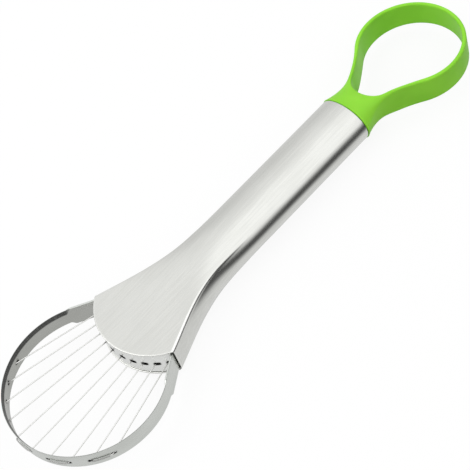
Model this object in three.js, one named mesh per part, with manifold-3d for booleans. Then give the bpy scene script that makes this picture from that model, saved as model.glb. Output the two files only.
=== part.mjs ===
// Wire avocado slicer: an oval steel handle pressed flat into a throat, a hoop blade strung with
// cutting wires, and a plastic loop that lifts out the pit. Millimetres, +Z up, blade towards -X.
// The pieces are drawn about the handle's axis, with X = 0 at the tube's rear end.
import * as THREE from "three";
import { mergeVertices } from "three/addons/utils/BufferGeometryUtils.js";
import Module from "manifold-3d";

// Handle shell: an oval tube that flares and flattens into the throat
const tubeWidth = 24.2;
const tubeHeight = 18.5;
const shellWall = 0.7;
const handleLength = 123.6; // rear end to the corners of the throat
const throatWidth = 44.5;
const throatHeight = 13.2;
const flareLength = 40; // where the plan widens
const flattenLength = 59; // where the height falls and the creases sharpen
const creaseRadius = 1.4; // between the throat's plates and its sides
const ovalFlat = 0.2; // half the width of the flats left on the oval tube
const frontBulge = 12.2; // reach of the plates past the throat's corners

// Hoop blade: one strip, wide where it sits in the throat and narrower where it cuts
const hoopRadius = 33; // outer face
const bandThickness = 0.7;
const tabHeight = 10.3;
const tabLength = 10; // inside the throat
const legLength = 11.8; // straight run from the throat to the round part
const upperStep = 0.75; // narrowing at the upper edge
const lowerStep = 1.75; // narrowing at the lower edge
const bevelHeight = 1.8; // ground cutting edge, on the inner face
const edgeThickness = 0.2;
const edgeBreak = 0.1; // on the wide, unground part
const holePitch = 14.6; // degrees between neighbouring holes
const holeTurn = 2.5; // degrees that the row of holes lies off centre, towards +Y
const holeDiameter = 1.4; // drilled along each strand
const holeOffset = 0.2; // of the hole from its strand, away from the stitch

// Wire anchor: a curved strip with a slot for each strand, closing the throat
const anchorThickness = 0.7;
const anchorRecess = 0.4; // behind the edges of the plates
const slotLength = 2.6;
const slotHeight = 1.4;
const slotShift = 0.5; // of a slot from its wire, away from the middle
const slotLand = 0.2; // metal left at the strip's ends

// Cutting wires and the sleeves on their ends
const strandCount = 10; // two to a wire
const wireDiameter = 0.5;
const bendReach = 1.2; // along the wire, from a corner to where its bend begins
const crimpDiameter = 1.7;
const crimpLength = 2;
const crimpChamfer = 0.2;
const wireTail = 0.5; // beyond the sleeve

// Pit loop: collar, neck and ring in one moulding, with a hollow spigot inside the tube
const loopReach = 66.4; // rear end of the tube to the tip of the loop
const loopRadius = 23.3;
const loopWall = 1.8;
const loopHeight = 13; // where the arms begin
const tipHeight = 11.6;
const loopEdgeRadius = 0.6;
const armHollow = 11.4; // degrees that the arms meet the ring steeper than straight arms would
const armInnerHollow = 3.8; // the same, inside
const neckWidth = 19;
const neckPlace = 10.5;
const collarLip = 0.45; // beyond the tube, to each side
const collarAngle = 27.2; // degrees to the axis where the collar meets the tube
const collarLength = 14; // where the oval becomes the flat ring
const openingStart = 10.3;
const openingRearRadius = 9.7;
const openingRearHollow = 11.3; // degrees that the opening's sides start out less steep
const spigotLength = 14;
const spigotWall = 1.8;
const spigotFloor = 2; // solid behind the collar
const spigotLead = 1.5; // length and depth of the lead-in
const spigotLeadDepth = 0.6;

// Clearances
const fitGap = 0.3;
const wireGap = 0.15;
const stitchGap = 0.2; // under the stitches on the hoop's outer face

// Facets
const quarterSteps = 11;
const arcStep = 4; // degrees
const bendSteps = 6;
const wireSides = 8;
const crimpSides = 12;
const overrun = 1; // how far a cutter passes the face that it cuts

const steel = { color: 0xd8d9d3, metalness: 1 };
const materials = {
  brushed: new THREE.MeshStandardMaterial({ ...steel, roughness: 0.38 }),
  band: new THREE.MeshStandardMaterial({ ...steel, roughness: 0.3 }),
  wire: new THREE.MeshStandardMaterial({ ...steel, roughness: 0.25 }),
  lime: new THREE.MeshStandardMaterial({ color: 0x7fd02a, metalness: 0, roughness: 0.35 }),
};

const wasm = await Module();
wasm.setup();

const radians = THREE.MathUtils.degToRad;
const lerp = THREE.MathUtils.lerp;
const smoothstep = (t) => THREE.MathUtils.smoothstep(t, 0, 1);

// Joins rings of equal count into a closed skin. Each ring turns right-handed about the way ahead.
function skin(rings) {
  const count = rings[0].length;
  const positions = [];
  const triangle = (...corners) => corners.forEach((corner) => positions.push(...corner.toArray()));
  rings.slice(1).forEach((ring, i) => {
    const behind = rings[i];
    for (let j = 0; j < count; j++) {
      const k = (j + 1) % count;
      triangle(behind[j], behind[k], ring[j]);
      triangle(behind[k], ring[k], ring[j]);
    }
  });
  const middle = (ring) => ring.reduce((sum, p) => sum.add(p), new THREE.Vector3()).divideScalar(count);
  const first = rings[0];
  const last = rings[rings.length - 1];
  const firstMiddle = middle(first);
  const lastMiddle = middle(last);
  for (let j = 0; j < count; j++) {
    const k = (j + 1) % count;
    triangle(firstMiddle, first[k], first[j]);
    triangle(lastMiddle, last[j], last[k]);
  }
  const geometry = new THREE.BufferGeometry();
  geometry.setAttribute("position", new THREE.Float32BufferAttribute(positions, 3));
  return geometry;
}

// Carries a section along a plan path, mitred at the corners. Offsets run to the left of the way ahead.
function sweep(path, sectionAt) {
  const ways = path.slice(1).map((point, i) => point.clone().sub(path[i]).normalize());
  return skin(
    path.map((point, i) => {
      const before = ways[Math.max(i - 1, 0)];
      const after = ways[Math.min(i, ways.length - 1)];
      const mitre = before.clone().add(after).divideScalar(1 + before.dot(after));
      return sectionAt(i).map(
        ([offset, z]) => new THREE.Vector3(point.x - mitre.y * offset, point.y + mitre.x * offset, z),
      );
    }),
  );
}

function arcPoints(centreX, radius, from, to, steps) {
  return Array.from({ length: steps + 1 }, (_, i) => {
    const angle = lerp(from, to, i / steps);
    return new THREE.Vector2(centreX + radius * Math.cos(angle), radius * Math.sin(angle));
  });
}

const arcSteps = (from, to) => Math.ceil(Math.abs(to - from) / radians(arcStep));

function toSolid(geometry) {
  const bare = new THREE.BufferGeometry();
  const source = geometry.index ? geometry.toNonIndexed() : geometry;
  bare.setAttribute("position", source.getAttribute("position"));
  const merged = mergeVertices(bare, 1e-4);
  return new wasm.Manifold(
    new wasm.Mesh({
      numProp: 3,
      vertProperties: merged.attributes.position.array,
      triVerts: new Uint32Array(merged.index.array),
    }),
  );
}

function toGeometry(solid) {
  const mesh = solid.getMesh();
  const geometry = new THREE.BufferGeometry();
  geometry.setAttribute("position", new THREE.BufferAttribute(mesh.vertProperties, 3));
  geometry.setIndex(new THREE.BufferAttribute(mesh.triVerts, 1));
  return geometry;
}

// An oval with flats: four quarter ellipses joined by straight sides, square to the X axis.
function ovalRing(x, halfWidth, halfHeight, cornerY, cornerZ) {
  const ring = [];
  for (let quarter = 0; quarter < 4; quarter++) {
    const flatY = (halfWidth - cornerY) * (quarter % 3 === 0 ? 1 : -1);
    const flatZ = (halfHeight - cornerZ) * (quarter < 2 ? 1 : -1);
    for (let step = 0; step <= quarterSteps; step++) {
      const angle = ((quarter + step / quarterSteps) * Math.PI) / 2;
      const y = flatY + cornerY * Math.cos(angle);
      const z = flatZ + cornerZ * Math.sin(angle);
      ring.push(new THREE.Vector3(x, y, z));
    }
  }
  return ring;
}

// A plan outline made into a prism that passes through the whole height of the handle.
function throughCut(points) {
  const prism = new THREE.ExtrudeGeometry(new THREE.Shape(points), {
    depth: 2 * tubeHeight,
    bevelEnabled: false,
  });
  return toSolid(prism.translate(0, 0, -tubeHeight));
}

// Handle shell

// Half-width of the handle at X: a straight tube, then the curve of a strip bent at its end.
function handleHalfWidth(x) {
  const s = Math.max(0, (flareLength - handleLength - x) / flareLength);
  const bend = s < 1 ? (s * s * (3 - s)) / 2 : 1 + 1.5 * (s - 1);
  return lerp(tubeWidth / 2, throatWidth / 2, bend);
}

// The plates flatten before the sides do, so the creases run well back along the tube.
function handleRing(x, inset) {
  const flat = smoothstep((flattenLength - handleLength - x) / flattenLength);
  const plateFlat = 1 - (1 - flat) ** 1.5;
  const sideFlat = flat ** 2;
  const halfWidth = handleHalfWidth(x);
  const halfHeight = lerp(tubeHeight / 2, throatHeight / 2, flat);
  const cornerY = lerp(halfWidth - ovalFlat, creaseRadius, plateFlat);
  const cornerZ = lerp(halfHeight - ovalFlat, creaseRadius, sideFlat);
  return ovalRing(x, halfWidth - inset, halfHeight - inset, cornerY - inset, cornerZ - inset);
}

function handleLoft(inset, rearX) {
  const frontX = -handleLength - frontBulge - overrun;
  const flareX = Math.max(flareLength, flattenLength) - handleLength;
  const flareSteps = 18;
  const stations = [frontX];
  for (let i = 0; i <= flareSteps; i++) stations.push(lerp(-handleLength, flareX, i / flareSteps));
  stations.push(rearX);
  return toSolid(skin(stations.map((x) => handleRing(x, inset))));
}

// The plates' front edges follow an arc through the throat's corners.
const mouthX = -handleLength;
const mouthHalf = throatWidth / 2;
const frontRadius = (mouthHalf ** 2 + frontBulge ** 2) / (2 * frontBulge);
const frontCentreX = mouthX - frontBulge + frontRadius;

function handleShell() {
  const corner = Math.atan2(mouthHalf, frontCentreX - mouthX);
  const arcFrom = Math.PI - corner;
  const arcTo = Math.PI + corner;
  const arc = arcPoints(frontCentreX, frontRadius, arcFrom, arcTo, 2 * arcSteps(0, corner));
  const behind = overrun;
  const beside = throatWidth;
  const keep = throughCut([
    new THREE.Vector2(behind, beside),
    new THREE.Vector2(mouthX, beside),
    ...arc,
    new THREE.Vector2(mouthX, -beside),
    new THREE.Vector2(behind, -beside),
  ]);
  return handleLoft(0, 0).subtract(handleLoft(shellWall, overrun)).intersect(keep);
}

// Hoop blade

// The tabs lie inside the throat's sides. The legs run from the mouth to touch the round part.
const wallSlope = Math.atan((1.5 * (throatWidth - tubeWidth)) / (2 * flareLength));
const legStart = new THREE.Vector2(mouthX, mouthHalf - (shellWall + fitGap) / Math.cos(wallSlope));
const hoopDistance = Math.hypot(hoopRadius, legLength);
const hoopCentreX = mouthX - Math.sqrt(hoopDistance ** 2 - legStart.y ** 2);
const touchAngle = Math.asin(legStart.y / hoopDistance) + Math.acos(hoopRadius / hoopDistance);
const bandTop = tabHeight / 2 - upperStep;
const bandBottom = lowerStep - tabHeight / 2;

function hoopBlade(strands) {
  const tabEnd = new THREE.Vector2(Math.cos(wallSlope), -Math.sin(wallSlope));
  tabEnd.multiplyScalar(tabLength).add(legStart);
  const mirror = (point) => new THREE.Vector2(point.x, -point.y);
  const farAngle = 2 * Math.PI - touchAngle;
  const round = arcPoints(hoopCentreX, hoopRadius, touchAngle, farAngle, arcSteps(touchAngle, farAngle));
  const path = [tabEnd, legStart, ...round, mirror(legStart), mirror(tabEnd)];
  const widePoints = 3; // at each end: tab end, mouth and the start of the round part
  const strip = sweep(path, (i) => {
    const wide = i < widePoints || i >= path.length - widePoints;
    const top = wide ? tabHeight / 2 : bandTop;
    const bottom = wide ? -tabHeight / 2 : bandBottom;
    const bevel = wide ? edgeBreak : bevelHeight;
    const edge = wide ? bandThickness - edgeBreak : edgeThickness;
    return [
      [0, bottom],
      [bandThickness, bottom],
      [bandThickness, top - bevel],
      [edge, top],
      [0, top],
    ];
  });
  return strands.reduce((solid, strand) => solid.subtract(toSolid(strandHole(strand))), toSolid(strip));
}

// Wire anchor

const anchorRadius = frontRadius - anchorRecess; // front face
const slotRadius = anchorRadius - anchorThickness / 2;
const mouthAngle = Math.atan2(legStart.y, frontCentreX - mouthX);
const anchorEnd = mouthAngle - (bandThickness + fitGap) / frontRadius;
const lastWire = anchorEnd - (slotLength / 2 + slotLand + slotShift) / slotRadius;
const wireAngle = (strand) => lerp(lastWire, -lastWire, strand / (strandCount - 1));

// Each slot reaches outwards from its wire, which pulls to the slot's inner end.
function slotAngle(strand) {
  const angle = wireAngle(strand);
  return angle + (Math.sign(angle) * slotShift) / slotRadius;
}

function slotCutter(angle) {
  const straight = (slotLength - slotHeight) / 2;
  const outline = new THREE.Shape();
  outline.absarc(straight, 0, slotHeight / 2, -Math.PI / 2, Math.PI / 2, false);
  outline.absarc(-straight, 0, slotHeight / 2, Math.PI / 2, (3 * Math.PI) / 2, false);
  const depth = anchorThickness + 2 * overrun;
  const geometry = new THREE.ExtrudeGeometry(outline, { depth, bevelEnabled: false, curveSegments: 4 });
  const outward = new THREE.Vector3(-Math.cos(angle), Math.sin(angle), 0);
  const up = new THREE.Vector3(0, 0, 1);
  const along = up.clone().cross(outward);
  geometry.translate(0, 0, slotRadius - depth / 2);
  geometry.applyMatrix4(new THREE.Matrix4().makeBasis(along, up, outward));
  return toSolid(geometry.translate(frontCentreX, 0, 0));
}

function wireAnchor() {
  const from = Math.PI - anchorEnd;
  const to = Math.PI + anchorEnd;
  const path = arcPoints(frontCentreX, anchorRadius, from, to, arcSteps(from, to));
  const half = throatHeight / 2 - shellWall - fitGap;
  const section = [
    [0, -half],
    [anchorThickness, -half],
    [anchorThickness, half],
    [0, half],
  ];
  let strip = toSolid(sweep(path, () => section));
  for (let strand = 0; strand < strandCount; strand++) {
    strip = strip.subtract(slotCutter(slotAngle(strand)));
  }
  return strip;
}

// Cutting wires

// Strands count from the +Y side. Each runs from its slot to a corner outside the hoop.
const stitchRadius = hoopRadius + stitchGap + wireDiameter / 2;

function strandLine(strand) {
  const angle = radians(holeTurn + holePitch * ((strandCount - 1) / 2 - strand));
  const place = wireAngle(strand);
  const normal = new THREE.Vector2(Math.cos(place), -Math.sin(place));
  const anchor = new THREE.Vector2(frontCentreX, 0).addScaledVector(normal, -slotRadius);
  const outward = new THREE.Vector2(-Math.cos(angle), Math.sin(angle));
  const corner = new THREE.Vector2(hoopCentreX, 0).addScaledVector(outward, stitchRadius);
  const way = anchor.clone().sub(corner).normalize();
  const square = way.dot(normal);
  const slant = Math.sqrt(1 - square ** 2);
  const crimpStart = (anchorThickness / 2 + fitGap + (crimpDiameter / 2) * slant) / square;
  const crimp = anchor.clone().addScaledVector(way, crimpStart);
  const end = crimp.clone().addScaledVector(way, crimpLength + wireTail);
  const aside = new THREE.Vector2(-way.y, way.x).multiplyScalar(strand % 2 === 0 ? 1 : -1);
  return { angle: Math.PI - angle, corner, way, aside, crimp, end };
}

// A hairpin: out along one strand, a stitch round the outside of the hoop, and back along the next.
function hairpinPath(first, second) {
  const reach = bendReach / stitchRadius;
  const stitchFrom = first.angle + reach;
  const stitchTo = second.angle - reach;
  const stitchSteps = 2 * Math.ceil(arcSteps(stitchFrom, stitchTo) / 2);
  const stitch = arcPoints(hoopCentreX, stitchRadius, stitchFrom, stitchTo, stitchSteps);
  const bend = (from, corner, to) => new THREE.QuadraticBezierCurve(from, corner, to).getPoints(bendSteps);
  const bendIn = first.corner.clone().addScaledVector(first.way, bendReach);
  const bendOut = second.corner.clone().addScaledVector(second.way, bendReach);
  return [
    first.end,
    ...bend(bendIn, first.corner, stitch[0]),
    ...stitch.slice(1, -1),
    ...bend(stitch[stitch.length - 1], second.corner, bendOut),
    second.end,
  ];
}

function wireTube(path, diameter) {
  const radius = diameter / 2;
  const section = Array.from({ length: wireSides }, (_, i) => {
    const angle = (i / wireSides) * 2 * Math.PI;
    return [radius * Math.cos(angle), radius * Math.sin(angle)];
  });
  return sweep(path, () => section);
}

// A hole through the band along a strand, long enough to break out on both faces. The strand lies
// near the side of the hole that the stitch pulls it to.
function strandHole({ corner, way, aside }) {
  const inward = new THREE.Vector2(hoopCentreX, 0).sub(corner).normalize();
  const square = way.dot(inward);
  const depth = stitchRadius - hoopRadius + bandThickness;
  const axis = corner.clone().addScaledVector(aside, holeOffset);
  const from = axis.clone().addScaledVector(way, -holeDiameter / square);
  const to = axis.clone().addScaledVector(way, (depth + holeDiameter) / square);
  return wireTube([to, from], holeDiameter);
}

function crimpSleeve() {
  const bore = wireDiameter / 2 + wireGap;
  const outer = crimpDiameter / 2;
  const profile = [
    [bore, 0],
    [outer - crimpChamfer, 0],
    [outer, crimpChamfer],
    [outer, crimpLength - crimpChamfer],
    [outer - crimpChamfer, crimpLength],
    [bore, crimpLength],
    [bore, 0],
  ];
  return new THREE.LatheGeometry(
    profile.map(([radius, y]) => new THREE.Vector2(radius, y)),
    crimpSides,
  );
}

// Pit loop

const loopCentreX = loopReach - loopRadius;
const innerRadius = loopRadius - loopWall;
const openingRearX = openingStart + openingRearRadius;

// Slopes of straight arms: outside from the neck to touch the ring, inside along both ends of the opening.
const neckRun = loopCentreX - neckPlace;
const neckDistance = Math.hypot(neckRun, neckWidth / 2);
const straightOuter = Math.asin(loopRadius / neckDistance) - Math.atan2(neckWidth / 2, neckRun);
const straightInner = Math.asin((innerRadius - openingRearRadius) / (loopCentreX - openingRearX));

// Half of the moulding's plan, from the collar along one arm to the tip.
function loopOutline() {
  const neck = new THREE.Vector2(neckPlace, neckWidth / 2);
  const collar = new THREE.Vector2(fitGap, tubeWidth / 2 + collarLip);
  const collarRun = (collar.y - neck.y) / Math.tan(radians(collarAngle));
  const collarBend = new THREE.Vector2(collar.x + collarRun, neck.y);
  const armSlope = straightOuter + radians(armHollow);
  const leave = Math.PI / 2 + armSlope;
  const ringSteps = Math.ceil(arcSteps(leave, 0) / 2);
  const ring = arcPoints(loopCentreX, loopRadius, leave, radians(arcStep), ringSteps);
  const armRun = (ring[0].y - neck.y) / Math.tan(armSlope);
  const armBend = new THREE.Vector2(ring[0].x - armRun, neck.y);
  return [
    ...new THREE.QuadraticBezierCurve(collar, collarBend, neck).getPoints(6),
    ...new THREE.QuadraticBezierCurve(neck, armBend, ring[0]).getPoints(8).slice(1),
    ...ring.slice(1),
  ];
}

function loopRing({ x, y: halfWidth }) {
  const flat = smoothstep((x - fitGap) / collarLength);
  const alongArms = Math.max(0, (x - fitGap - collarLength) / (loopReach - fitGap - collarLength));
  const flatHeight = lerp(loopHeight, tipHeight, alongArms);
  const halfHeight = lerp(tubeHeight / 2, flatHeight / 2, flat);
  const cornerY = Math.min(lerp(halfWidth - ovalFlat, loopEdgeRadius, flat), halfWidth - ovalFlat);
  const cornerZ = lerp(halfHeight - ovalFlat, loopEdgeRadius, flat);
  return ovalRing(x, halfWidth, halfHeight, cornerY, cornerZ);
}

// The teardrop opening: a round rear end, arms that open out, and the inside of the ring.
function openingOutline() {
  const rearSlope = straightInner - radians(openingRearHollow);
  const rear = arcPoints(openingRearX, openingRearRadius, Math.PI, Math.PI / 2 + rearSlope, 8);
  const armSlope = straightInner + radians(armInnerHollow);
  const leave = Math.PI / 2 + armSlope;
  const ring = arcPoints(loopCentreX, innerRadius, leave, 0, Math.ceil(arcSteps(leave, 0) / 2));
  const from = rear[rear.length - 1];
  const rearRise = Math.tan(rearSlope);
  const armRise = Math.tan(armSlope);
  const bendX = (ring[0].y - from.y - armRise * ring[0].x + rearRise * from.x) / (rearRise - armRise);
  const bend = new THREE.Vector2(bendX, from.y + rearRise * (bendX - from.x));
  const arm = new THREE.QuadraticBezierCurve(from, bend, ring[0]).getPoints(8);
  const half = [...rear, ...arm.slice(1), ...ring.slice(1)];
  const mirrored = half.slice(1, -1).map((point) => new THREE.Vector2(point.x, -point.y));
  return [...half, ...mirrored.reverse()];
}

function spigotLoft(inset, stations) {
  const halfWidth = tubeWidth / 2 - shellWall - fitGap - inset;
  const halfHeight = tubeHeight / 2 - shellWall - fitGap - inset;
  const ringAt = ([x, lead]) => {
    const [across, up] = [halfWidth - lead, halfHeight - lead];
    return ovalRing(x, across, up, across - ovalFlat, up - ovalFlat);
  };
  return toSolid(skin(stations.map(ringAt)));
}

function pitLoop() {
  const body = toSolid(skin(loopOutline().map(loopRing)));
  const spigot = spigotLoft(0, [
    [-spigotLength, spigotLeadDepth],
    [spigotLead - spigotLength, 0],
    [fitGap + overrun, 0],
  ]);
  const pocket = spigotLoft(spigotWall, [
    [-spigotLength - overrun, 0],
    [-spigotFloor, 0],
  ]);
  return body.subtract(throughCut(openingOutline())).add(spigot).subtract(pocket);
}

// Assembly

const slicer = new THREE.Group();
const tool = new THREE.Group();
slicer.add(tool);

function addPiece(name, geometry, material) {
  const mesh = new THREE.Mesh(geometry, material);
  mesh.name = name;
  tool.add(mesh);
  return mesh;
}

const strands = Array.from({ length: strandCount }, (_, strand) => strandLine(strand));
const hairpins = [];
for (let i = 0; i < strandCount; i += 2) hairpins.push(hairpinPath(strands[i], strands[i + 1]));

addPiece("handle_shell", toGeometry(handleShell()), materials.brushed);
addPiece("hoop_blade", toGeometry(hoopBlade(strands)), materials.band);
addPiece("wire_anchor", toGeometry(wireAnchor()), materials.band);
addPiece("pit_loop", toGeometry(pitLoop()), materials.lime);
hairpins.forEach((path, i) => {
  addPiece(`cutting_wire_${i + 1}`, wireTube(path, wireDiameter), materials.wire);
});
strands.forEach(({ crimp, way }, i) => {
  const sleeve = addPiece(`wire_crimp_${String(i + 1).padStart(2, "0")}`, crimpSleeve(), materials.wire);
  sleeve.position.set(crimp.x, crimp.y, 0);
  sleeve.quaternion.setFromUnitVectors(new THREE.Vector3(0, 1, 0), new THREE.Vector3(way.x, way.y, 0));
});

// The origin is under the middle of the tool's length, on the surface that the oval tube lies on.
const reach = new THREE.Box3().setFromObject(tool, true);
tool.position.set(-(reach.min.x + reach.max.x) / 2, 0, -reach.min.z);

export default slicer;
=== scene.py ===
import bpy
import numpy as np
from mathutils import Matrix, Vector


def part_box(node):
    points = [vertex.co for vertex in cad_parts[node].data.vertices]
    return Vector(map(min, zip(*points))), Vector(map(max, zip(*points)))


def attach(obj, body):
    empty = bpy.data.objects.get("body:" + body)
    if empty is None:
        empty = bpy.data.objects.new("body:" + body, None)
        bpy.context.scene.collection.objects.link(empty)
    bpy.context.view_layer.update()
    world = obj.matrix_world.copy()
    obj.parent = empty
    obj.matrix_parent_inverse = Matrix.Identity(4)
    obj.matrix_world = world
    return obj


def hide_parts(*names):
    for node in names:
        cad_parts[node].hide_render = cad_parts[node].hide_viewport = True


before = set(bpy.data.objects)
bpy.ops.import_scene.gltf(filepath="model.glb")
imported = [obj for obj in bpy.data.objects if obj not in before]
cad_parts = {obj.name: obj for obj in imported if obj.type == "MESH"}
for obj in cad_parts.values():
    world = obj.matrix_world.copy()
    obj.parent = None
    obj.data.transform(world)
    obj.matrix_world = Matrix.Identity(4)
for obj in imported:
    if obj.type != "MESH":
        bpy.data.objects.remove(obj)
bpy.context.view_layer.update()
bpy.context.scene.view_settings.view_transform = "Standard"

# Shapes are worked out in millimetres: X = 0 is the rear end of the tube and Z = 0 its axis
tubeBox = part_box("handle_shell")
frameShift = np.array([tubeBox[1].x, 0.0, tubeBox[1].z / 2])


# Camera, floor and light

shot = {
    "aim": (-0.00937, -0.0008, 0.00925),  # metres
    "distance": 0.5683,
    "azimuth": -29.14,  # degrees, 0 looks along +Y
    "elevation": 51.78,
    "roll": 22.01,
    "lens": 110.3,
    "sensor": 36.0,
}


def aimCamera():
    turn, lift, roll = np.radians([shot["azimuth"], shot["elevation"], shot["roll"]])
    back = np.array([np.sin(turn) * np.cos(lift), -np.cos(turn) * np.cos(lift), np.sin(lift)])
    level = np.array([np.cos(turn), np.sin(turn), 0.0])
    rise = np.cross(back, level)
    right = level * np.cos(roll) - rise * np.sin(roll)
    up = level * np.sin(roll) + rise * np.cos(roll)
    place = np.eye(4)
    place[:3, 0], place[:3, 1], place[:3, 2] = right, up, back
    place[:3, 3] = np.array(shot["aim"]) + back * shot["distance"]
    data = bpy.data.cameras.new("shot_camera")
    data.lens = shot["lens"]
    data.sensor_width = shot["sensor"]
    camera = bpy.data.objects.new("shot_camera", data)
    camera.matrix_world = Matrix(place.tolist())
    bpy.context.collection.objects.link(camera)
    bpy.context.scene.camera = camera


class Signal:
    # A socket of a node tree. Python operators on it add Math nodes.
    def __init__(self, tree, socket=None):
        self.tree = tree
        self.socket = socket

    # Any node: its type, its settings, which are set first, and the values or links of its sockets
    def node(self, kind, settings=None, sockets=None, out=0):
        made = self.tree.nodes.new(kind)
        for key, value in (settings or {}).items():
            setattr(made, key, value)
        for key, value in (sockets or {}).items():
            if isinstance(value, Signal):
                self.tree.links.new(value.socket, made.inputs[key])
            else:
                made.inputs[key].default_value = value
        return Signal(self.tree, made.outputs[out]) if len(made.outputs) else None

    def sum(self, operation, first, second):
        return self.node("ShaderNodeMath", {"operation": operation}, {0: first, 1: second})

    def __add__(self, other):
        return self.sum("ADD", self, other)

    def __radd__(self, other):
        return self.sum("ADD", other, self)

    def __sub__(self, other):
        return self.sum("SUBTRACT", self, other)

    def __rsub__(self, other):
        return self.sum("SUBTRACT", other, self)

    def __mul__(self, other):
        return self.sum("MULTIPLY", self, other)

    def __rmul__(self, other):
        return self.sum("MULTIPLY", other, self)


def mixed(first, second, share):  # two colours by a share
    tools = next(s for s in (share, first, second) if isinstance(s, Signal))
    sockets = {0: share, 6: first, 7: second}
    return tools.node("ShaderNodeMix", {"data_type": "RGBA"}, sockets, 2)


def stepped(value, low, high):  # 0 below low, 1 above high, eased between
    settings = {"interpolation_type": "SMOOTHSTEP"}
    return value.node("ShaderNodeMapRange", settings, {"Value": value, "From Min": low, "From Max": high})


def speckle(spot, stretch, detail=2.0, seed=0.0):
    # Noise with its own grain size along each axis, per metre
    long = spot.node("ShaderNodeVectorMath", {"operation": "MULTIPLY"}, {0: spot, 1: stretch})
    moved = spot.node("ShaderNodeVectorMath", {"operation": "ADD"}, {0: long, 1: (seed, seed, seed)})
    return spot.node("ShaderNodeTexNoise", {}, {"Vector": moved, "Scale": 1.0, "Detail": detail})


def bumped(height, distance):  # a height of 0 to 1 as a relief, in metres
    return height.node("ShaderNodeBump", {}, {"Height": height, "Strength": 1.0, "Distance": distance})


studio = {
    "nearDark": 0.05,  # the room behind the camera, which steel mirrors as a dark stripe
    "nearSky": 1.22,
    "nearTable": 0.8,
    "nearRise": (0.06, 0.48),  # heights of the sky where the dark gives way to the light above it
    "nearFall": (0.18, 0.62),  # and to the table below it
    "farLow": 0.77,
    "farSky": 0.99,
    "farRise": (0.2, 0.9),
    "farUnder": 0.45,  # under the object
    "farSink": (0.84, 0.96),
    "acrossTurn": (0.0, 0.45),  # from the near light to the far light, across the object
    "floorSide": 1.6,  # metres
    "floorColour": (0.85, 0.85, 0.85, 1.0),
    "floorBounce": (0.45, 0.45, 0.45, 1.0),  # what the floor gives back to the object
    "floorWhite": 0.9,  # the share of plain white that the camera sees
    "keyPlace": (-0.55, 0.5, 0.9),
    "keySize": 0.8,
    "keyPower": 2.5,
}


def lightStudio():
    world = bpy.data.worlds.new("studio")
    world.use_nodes = True
    world.node_tree.nodes.clear()
    start = Signal(world.node_tree)
    way = start.node("ShaderNodeTexCoord", out="Generated")
    across, height = (start.node("ShaderNodeSeparateXYZ", {}, {0: way}, axis) for axis in ("Y", "Z"))
    dark = studio["nearDark"]
    above = (studio["nearSky"] - dark) * stepped(height, *studio["nearRise"])
    below = (studio["nearTable"] - dark) * stepped(0 - height, *studio["nearFall"])
    near = dark + above + below
    above = (studio["farSky"] - studio["farLow"]) * stepped(height, *studio["farRise"])
    below = (studio["farUnder"] - studio["farLow"]) * stepped(0 - height, *studio["farSink"])
    far = studio["farLow"] + above + below
    level = near + (far - near) * stepped(across, *studio["acrossTurn"])
    seen = start.node("ShaderNodeLightPath", out="Is Camera Ray")
    light = start.node("ShaderNodeBackground", {}, {"Color": (1, 1, 1, 1), "Strength": level})
    plain = start.node("ShaderNodeBackground", {}, {"Color": (1, 1, 1, 1), "Strength": 1.0})
    both = start.node("ShaderNodeMixShader", {}, {0: seen, 1: light, 2: plain})
    start.node("ShaderNodeOutputWorld", {}, {"Surface": both})
    bpy.context.scene.world = world

    data = bpy.data.lights.new("key", "AREA")
    data.size = studio["keySize"]
    data.energy = studio["keyPower"]
    key = bpy.data.objects.new("key", data)
    back = np.array(studio["keyPlace"]) / np.linalg.norm(studio["keyPlace"])
    aside = np.cross((0, 0, 1), back)
    aside /= np.linalg.norm(aside)
    place = np.eye(4)
    place[:3, 0], place[:3, 1], place[:3, 2] = aside, np.cross(back, aside), back
    place[:3, 3] = studio["keyPlace"]
    key.matrix_world = Matrix(place.tolist())
    bpy.context.collection.objects.link(key)


def layFloor():
    half = studio["floorSide"] / 2
    mesh = bpy.data.meshes.new("floor")
    corners = [(-half, -half, 0.0), (half, -half, 0.0), (half, half, 0.0), (-half, half, 0.0)]
    mesh.from_pydata(corners, [], [(0, 1, 2, 3)])
    floor = bpy.data.objects.new("floor", mesh)
    bpy.context.collection.objects.link(floor)
    material = bpy.data.materials.new("floor_white")
    material.use_nodes = True
    material.node_tree.nodes.clear()
    start = Signal(material.node_tree)
    direct = start.node("ShaderNodeLightPath", out="Is Camera Ray")
    mirrored = start.node("ShaderNodeLightPath", out="Is Glossy Ray")
    colour = mixed(studio["floorBounce"], studio["floorColour"], direct)
    matt = start.node("ShaderNodeBsdfDiffuse", {}, {"Color": colour})
    white = start.node("ShaderNodeEmission", {}, {"Strength": 1.0})
    clear = start.node("ShaderNodeBsdfTransparent")  # steel mirrors the studio's own pale table
    shown = start.node("ShaderNodeMixShader", {}, {0: direct * studio["floorWhite"], 1: matt, 2: white})
    both = start.node("ShaderNodeMixShader", {}, {0: mirrored, 1: shown, 2: clear})
    start.node("ShaderNodeOutputMaterial", {}, {"Surface": both})
    mesh.materials.append(material)


aimCamera()
lightStudio()
layFloor()
print("camera, light and floor are set")


# Finishes

def newFinish(name, place="Object"):
    material = bpy.data.materials.new(name)
    material.use_nodes = True
    material.node_tree.nodes.clear()
    start = Signal(material.node_tree)
    if place == "Object":
        return material, start.node("ShaderNodeTexCoord", out="Object")
    return material, start.node("ShaderNodeAttribute", {"attribute_name": place}, out="Vector")


def closeFinish(spot, sockets):
    shader = spot.node("ShaderNodeBsdfPrincipled", {}, sockets)
    spot.node("ShaderNodeOutputMaterial", {}, {"Surface": shader})


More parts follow.
